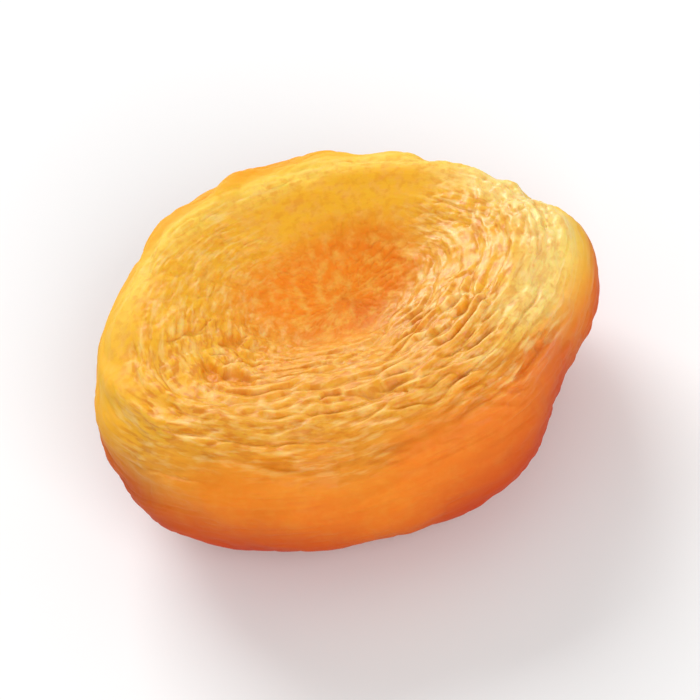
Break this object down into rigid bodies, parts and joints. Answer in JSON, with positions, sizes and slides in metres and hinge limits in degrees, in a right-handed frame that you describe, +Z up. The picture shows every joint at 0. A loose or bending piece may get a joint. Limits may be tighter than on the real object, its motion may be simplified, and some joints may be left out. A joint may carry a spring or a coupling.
{
  "type": "dried apricot",
  "caption": "Whole dried apricot with its stone pressed out: a plump wrinkled ring round a scooped hollow, closed underneath, lying on its back.",
  "frame": {"origin": "on the surface the fruit lies on, under the middle of its bounding box and inside the small flat spot it rests on", "axes": "+X along the fruit to the puckered end that the stone left by, +Y across it to the steep wall of the hollow, +Z up out of the hollow"},
  "size_m": [0.04, 0.0344, 0.0158],
  "materials": {
    "apricot_skin": "semi-gloss, finely wrinkled"
  },
  "bodies": {
    "root": {"apricot": "apricot_skin"}
  },
  "joints": []
}
